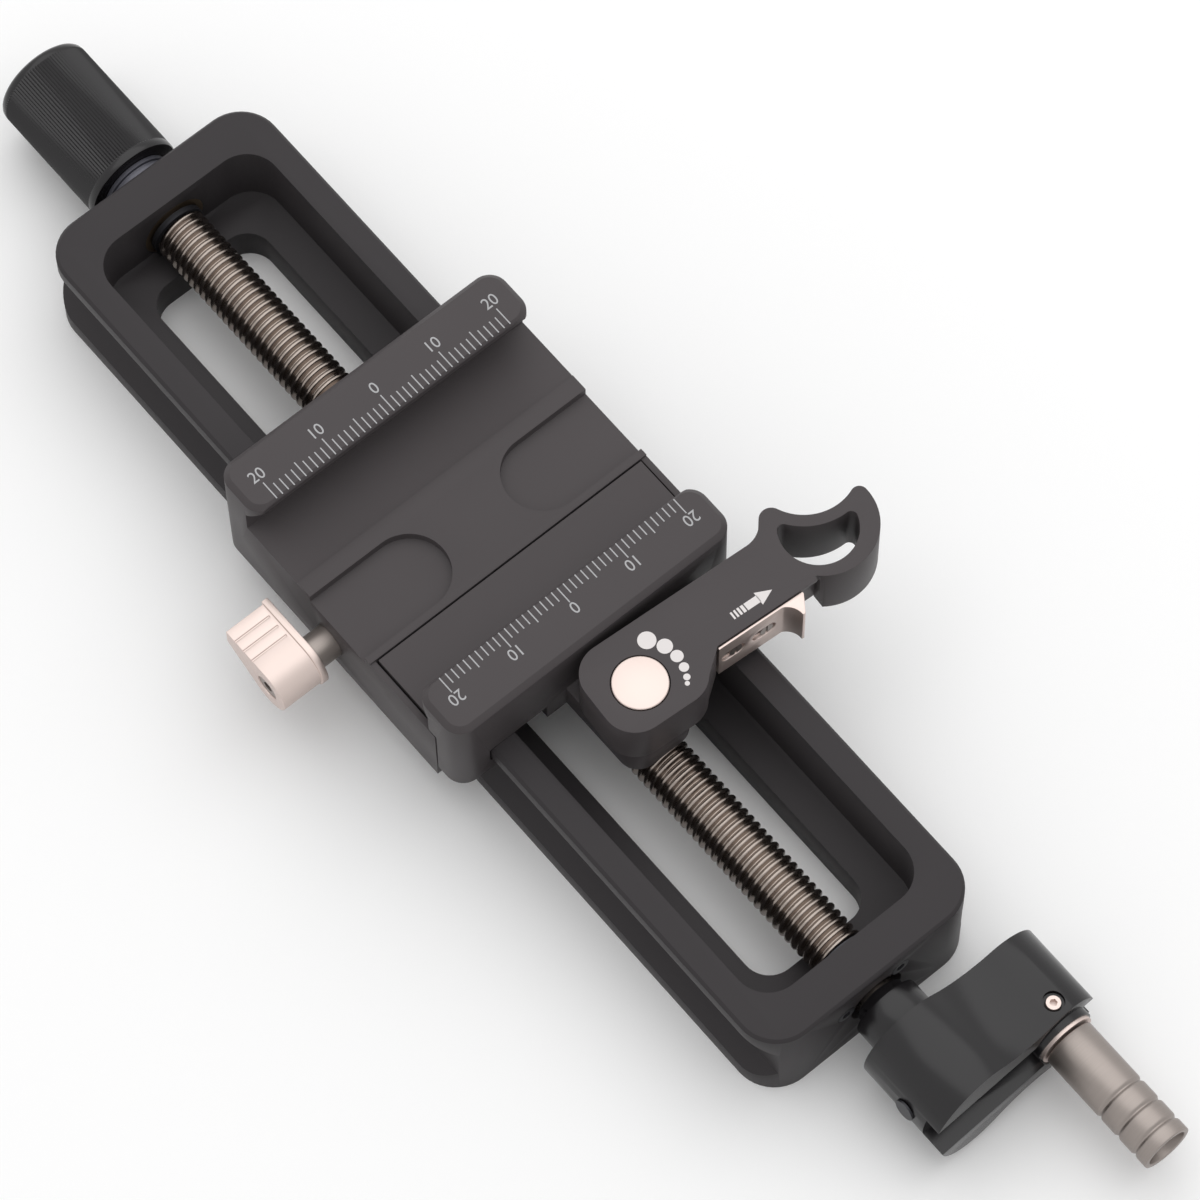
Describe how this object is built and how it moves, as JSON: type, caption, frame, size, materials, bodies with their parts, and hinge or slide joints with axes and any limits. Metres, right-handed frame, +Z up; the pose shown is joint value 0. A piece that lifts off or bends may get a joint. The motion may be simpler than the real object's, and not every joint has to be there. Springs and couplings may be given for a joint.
{
  "type": "macro focusing rail",
  "caption": "Long screw-driven focusing rail with a window, a crank and a rear knob, and a carriage with a lever-operated dovetail plate clamp.",
  "frame": {"origin": "middle of the frame's length and width, on its underside", "axes": "+X along the rail towards the crank, +Y towards the lever's finger ring, +Z up out of the clamp"},
  "size_m": [0.2183, 0.0755, 0.0289],
  "materials": {
    "anodised_black": "black hard anodised, fine bead-blasted matt",
    "anodised_grey": "grey anodised, satin",
    "satin_steel": "turned and ground stainless, satin",
    "bright_steel": "bright fine-blasted stainless, slightly warm",
    "dark_steel": "blackened steel",
    "bronze": "machined bearing bronze",
    "spring_steel": "plain spring wire"
  },
  "bodies": {
    "rail": {"rail_frame": "anodised_black", "front_bearing": "satin_steel", "rear_bush": "bronze", "retainer_screws": "dark_steel"},
    "screw": {"lead_screw": "satin_steel", "thrust_washers": "dark_steel", "front_collar": "anodised_black", "rear_collar": "anodised_grey", "fine_knob": "anodised_black", "knob_set_screw": "dark_steel", "crank_arm": "anodised_black", "crank_set_screw": "dark_steel", "axle_set_screw": "bright_steel", "grip_axle": "satin_steel", "grip_washer": "bright_steel"},
    "grip": {"crank_grip": "satin_steel"},
    "carriage": {"carriage_body": "anodised_black", "drive_nut": "bronze", "nut_set_screws": "dark_steel", "draw_bar": "satin_steel", "jaw_springs": "spring_steel"},
    "brake": {"lock_shoe": "bronze"},
    "lock": {"lock_screw": "satin_steel", "lock_knob": "bright_steel", "lock_knob_screw": "satin_steel"},
    "jaw": {"moving_jaw": "anodised_black", "guide_pins": "satin_steel", "cam_washer": "dark_steel"},
    "lever": {"clamp_lever": "anodised_black", "pivot_pin": "satin_steel", "pivot_cap": "bright_steel", "tab_spring": "spring_steel", "tab_screws": "satin_steel"},
    "tab": {"lock_tab": "bright_steel"}
  },
  "joints": [
    {"name": "screw_turn", "type": "hinge", "parent": "rail", "child": "screw", "pos_m": [0, 0, 0.0095], "axis": [1, 0, 0], "range_deg": [-9361, 13537]},
    {"name": "carriage_slide", "type": "slide", "parent": "rail", "child": "carriage", "axis": [1, 0, 0], "range_m": [-0.047, 0.0325]},
    {"name": "grip_spin", "type": "hinge", "parent": "screw", "child": "grip", "pos_m": [0.1, 0.01535, 0.00829], "axis": [1, 0, 0], "continuous": true},
    {"name": "brake_slide", "type": "slide", "parent": "carriage", "child": "brake", "axis": [0, 1, 0], "range_m": [-0.00013333, 0.00024444]},
    {"name": "lock_turn", "type": "hinge", "parent": "brake", "child": "lock", "pos_m": [-0.0069, -0.03, 0.0136], "axis": [0, 1, 0], "range_deg": [-60.1, 110.1]},
    {"name": "jaw_slide", "type": "slide", "parent": "carriage", "child": "jaw", "axis": [1, 0, 0], "range_m": [0, 0.00141], "deforming": ["jaw_springs"]},
    {"name": "lever_turn", "type": "hinge", "parent": "jaw", "child": "lever", "pos_m": [0.0292, 0, 0.023], "axis": [0, 0, 1], "range_deg": [-90.1, 0.1]},
    {"name": "tab_slide", "type": "slide", "parent": "lever", "child": "tab", "axis": [0.0698, 0.9976, 0], "range_m": [0, 0.0012], "stiffness_N_per_m": 300, "springref_m": -0.001, "deforming": ["tab_spring"]}
  ],
  "couplings": [
    {"joint": "screw_turn", "follows": "carriage_slide", "rad_per_m": -5026.5},
    {"joint": "lock_turn", "follows": "brake_slide", "rad_per_m": 7854},
    {"joint": "lever_turn", "follows": "jaw_slide", "rad_per_m": -1110.7}
  ]
}
